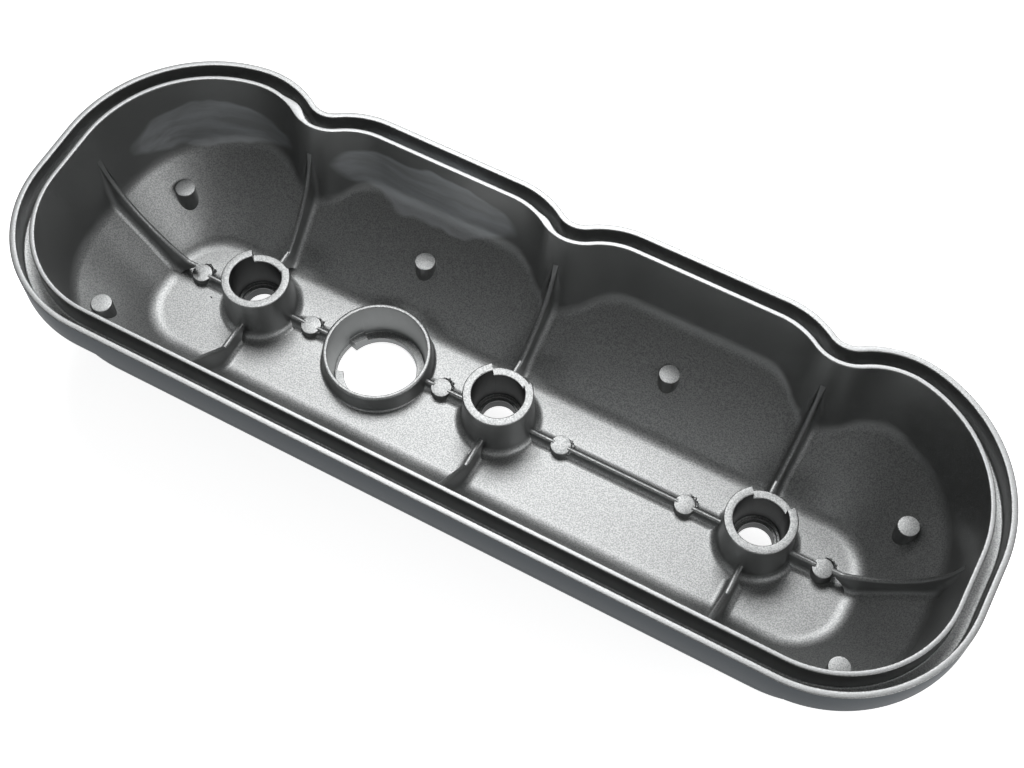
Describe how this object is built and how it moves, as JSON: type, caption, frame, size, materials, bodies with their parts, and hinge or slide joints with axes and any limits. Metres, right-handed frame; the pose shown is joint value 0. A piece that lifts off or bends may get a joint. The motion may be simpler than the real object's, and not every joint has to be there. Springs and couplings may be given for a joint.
{
  "type": "engine valve cover",
  "caption": "Cast valve cover: a long shallow tray with a grooved gasket rim, scallops along one side, bolt towers on a spine, ribs and an oil filler neck.",
  "frame": {"origin": "centre of the bounding box's bottom: on the plane of the filler neck's mouth, midway along and across the gasket rim", "axes": "+X along the row of bolts, away from the oil filler; +Y towards the scalloped long side; +Z from the filler neck's mouth up to the gasket rim, which is the open side"},
  "size_m": [0.4188, 0.1466, 0.082],
  "materials": {
    "cast_aluminium": "as-cast, satin, with a fine grain"
  },
  "bodies": {
    "root": {"valve_cover": "cast_aluminium"}
  },
  "joints": []
}
